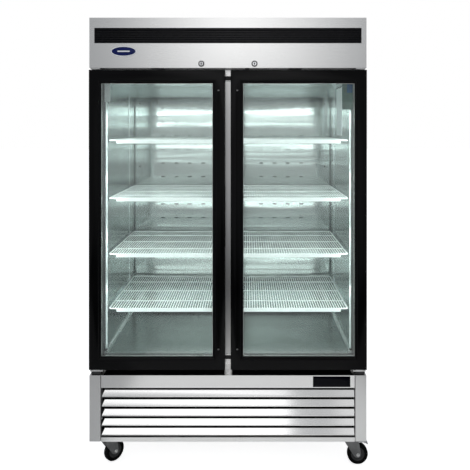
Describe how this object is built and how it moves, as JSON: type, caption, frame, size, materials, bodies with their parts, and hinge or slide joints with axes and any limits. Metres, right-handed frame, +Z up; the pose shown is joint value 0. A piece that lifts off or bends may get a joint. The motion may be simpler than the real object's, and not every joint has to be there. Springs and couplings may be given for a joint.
{
  "type": "glass door merchandiser",
  "caption": "Upright refrigerated display cabinet with framed glass doors, wire shelves, stainless header and louvred base on swivel casters.",
  "frame": {"origin": "on the floor, at the centre of the bounding box's bottom, under the middle of the cabinet", "axes": "+Z up; the doors face -Y; +X to the right of a person facing the doors"},
  "size_m": [1.356, 0.8, 2.158],
  "materials": {
    "stainless": "brushed satin",
    "galvanised_steel": "galvanised",
    "liner_metal": "semi-bright",
    "vent_black": "satin",
    "badge_blue": "gloss",
    "lock_chrome": "polished",
    "lamp_lens": "diffusing",
    "shelf_wire": "coated",
    "coil_fins": "finned",
    "moulded_black": "moulded",
    "compressor_black": "gloss paint",
    "gloss_black": "gloss",
    "door_black": "satin",
    "door_glass": "clear",
    "gasket_grey": "matte",
    "hinge_steel": "satin",
    "zinc_plate": "zinc plated",
    "wheel_black": "matte",
    "pedal_steel": "zinc plated"
  },
  "bodies": {
    "cabinet": {"side_wall_left": "stainless", "side_wall_right": "stainless", "header_cover": "stainless", "base_side_left": "stainless", "base_side_right": "stainless", "base_top_panel": "stainless", "louvre_grille": "stainless", "chassis_tray": "stainless", "centre_mullion": "stainless", "roof_slab": "stainless", "floor_deck": "stainless", "back_wall": "galvanised_steel", "rear_grille": "galvanised_steel", "inner_liner": "liner_metal", "air_duct_panel": "liner_metal", "pilaster_front_left": "liner_metal", "pilaster_front_right": "liner_metal", "pilaster_rear_left": "liner_metal", "pilaster_rear_right": "liner_metal", "header_vent": "vent_black", "badge": "badge_blue", "light_bar_left": "lamp_lens", "light_bar_right": "lamp_lens", "shelf_left_1": "shelf_wire", "shelf_left_2": "shelf_wire", "shelf_left_3": "shelf_wire", "shelf_left_4": "shelf_wire", "shelf_right_1": "shelf_wire", "shelf_right_2": "shelf_wire", "shelf_right_3": "shelf_wire", "shelf_right_4": "shelf_wire", "evaporator": "coil_fins", "condenser": "coil_fins", "power_inlet": "moulded_black", "compressor": "compressor_black", "controller_window": "gloss_black", "hinge_top_left": "hinge_steel", "hinge_top_right": "hinge_steel", "hinge_bottom_left": "hinge_steel", "hinge_bottom_right": "hinge_steel"},
    "door_left": {"door_frame_left": "door_black", "door_glass_left": "door_glass", "door_gasket_left": "gasket_grey"},
    "door_right": {"door_frame_right": "door_black", "door_glass_right": "door_glass", "door_gasket_right": "gasket_grey"},
    "lock_left_body": {"lock_left": "lock_chrome"},
    "lock_right_body": {"lock_right": "lock_chrome"},
    "evaporator_rotor": {"evaporator_fan": "moulded_black"},
    "condenser_rotor": {"condenser_fan": "moulded_black"},
    "swivel_front_left": {"caster_fork_front_left": "zinc_plate"},
    "wheel_front_left": {"caster_wheel_front_left": "wheel_black"},
    "swivel_front_right": {"caster_fork_front_right": "zinc_plate"},
    "wheel_front_right": {"caster_wheel_front_right": "wheel_black"},
    "swivel_rear_left": {"caster_fork_rear_left": "zinc_plate"},
    "wheel_rear_left": {"caster_wheel_rear_left": "wheel_black"},
    "swivel_rear_right": {"caster_fork_rear_right": "zinc_plate"},
    "wheel_rear_right": {"caster_wheel_rear_right": "wheel_black"},
    "pedal_front_left": {"brake_pedal_front_left": "pedal_steel"},
    "pedal_front_right": {"brake_pedal_front_right": "pedal_steel"}
  },
  "joints": [
    {"name": "door_left_hinge", "type": "hinge", "parent": "cabinet", "child": "door_left", "pos_m": [-0.64, -0.372, 1.1935], "axis": [0, 0, -1], "range_deg": [0, 120], "stiffness_Nm_per_rad": 1.5, "springref_deg": -11.46},
    {"name": "door_right_hinge", "type": "hinge", "parent": "cabinet", "child": "door_right", "pos_m": [0.64, -0.372, 1.1935], "axis": [0, 0, 1], "range_deg": [0, 120], "stiffness_Nm_per_rad": 1.5, "springref_deg": -11.46},
    {"name": "lock_left_turn", "type": "hinge", "parent": "cabinet", "child": "lock_left_body", "pos_m": [-0.127, -0.38, 1.938], "axis": [0, 1, 0], "range_deg": [0, 90]},
    {"name": "lock_right_turn", "type": "hinge", "parent": "cabinet", "child": "lock_right_body", "pos_m": [0.127, -0.38, 1.938], "axis": [0, 1, 0], "range_deg": [0, 90]},
    {"name": "evaporator_fan_spin", "type": "hinge", "parent": "cabinet", "child": "evaporator_rotor", "pos_m": [0, 0.323, 1.64], "axis": [0, 1, 0], "continuous": true},
    {"name": "condenser_fan_spin", "type": "hinge", "parent": "cabinet", "child": "condenser_rotor", "pos_m": [0.17, -0.243, 0.262], "axis": [0, 1, 0], "continuous": true},
    {"name": "caster_front_left_swivel", "type": "hinge", "parent": "cabinet", "child": "swivel_front_left", "pos_m": [-0.59, -0.34, 0.125], "axis": [0, 0, 1], "continuous": true},
    {"name": "wheel_front_left_roll", "type": "hinge", "parent": "swivel_front_left", "child": "wheel_front_left", "pos_m": [-0.56313, -0.31313, 0.05], "axis": [-0.7071, 0.7071, 0], "continuous": true},
    {"name": "brake_front_left_press", "type": "hinge", "parent": "swivel_front_left", "child": "pedal_front_left", "pos_m": [-0.56666, -0.31666, 0.107], "axis": [-0.7071, 0.7071, 0], "range_deg": [0, 6], "stiffness_Nm_per_rad": 0.5, "springref_deg": -11.46},
    {"name": "caster_front_right_swivel", "type": "hinge", "parent": "cabinet", "child": "swivel_front_right", "pos_m": [0.59, -0.34, 0.125], "axis": [0, 0, 1], "continuous": true},
    {"name": "wheel_front_right_roll", "type": "hinge", "parent": "swivel_front_right", "child": "wheel_front_right", "pos_m": [0.628, -0.34, 0.05], "axis": [0, 1, 0], "continuous": true},
    {"name": "brake_front_right_press", "type": "hinge", "parent": "swivel_front_right", "child": "pedal_front_right", "pos_m": [0.623, -0.34, 0.107], "axis": [0, 1, 0], "range_deg": [0, 6], "stiffness_Nm_per_rad": 0.5, "springref_deg": -11.46},
    {"name": "caster_rear_left_swivel", "type": "hinge", "parent": "cabinet", "child": "swivel_rear_left", "pos_m": [-0.59, 0.34, 0.125], "axis": [0, 0, 1], "continuous": true},
    {"name": "wheel_rear_left_roll", "type": "hinge", "parent": "swivel_rear_left", "child": "wheel_rear_left", "pos_m": [-0.628, 0.34, 0.05], "axis": [0, -1, 0], "continuous": true},
    {"name": "caster_rear_right_swivel", "type": "hinge", "parent": "cabinet", "child": "swivel_rear_right", "pos_m": [0.59, 0.34, 0.125], "axis": [0, 0, 1], "continuous": true},
    {"name": "wheel_rear_right_roll", "type": "hinge", "parent": "swivel_rear_right", "child": "wheel_rear_right", "pos_m": [0.59, 0.302, 0.05], "axis": [1, 0, 0], "continuous": true}
  ]
}
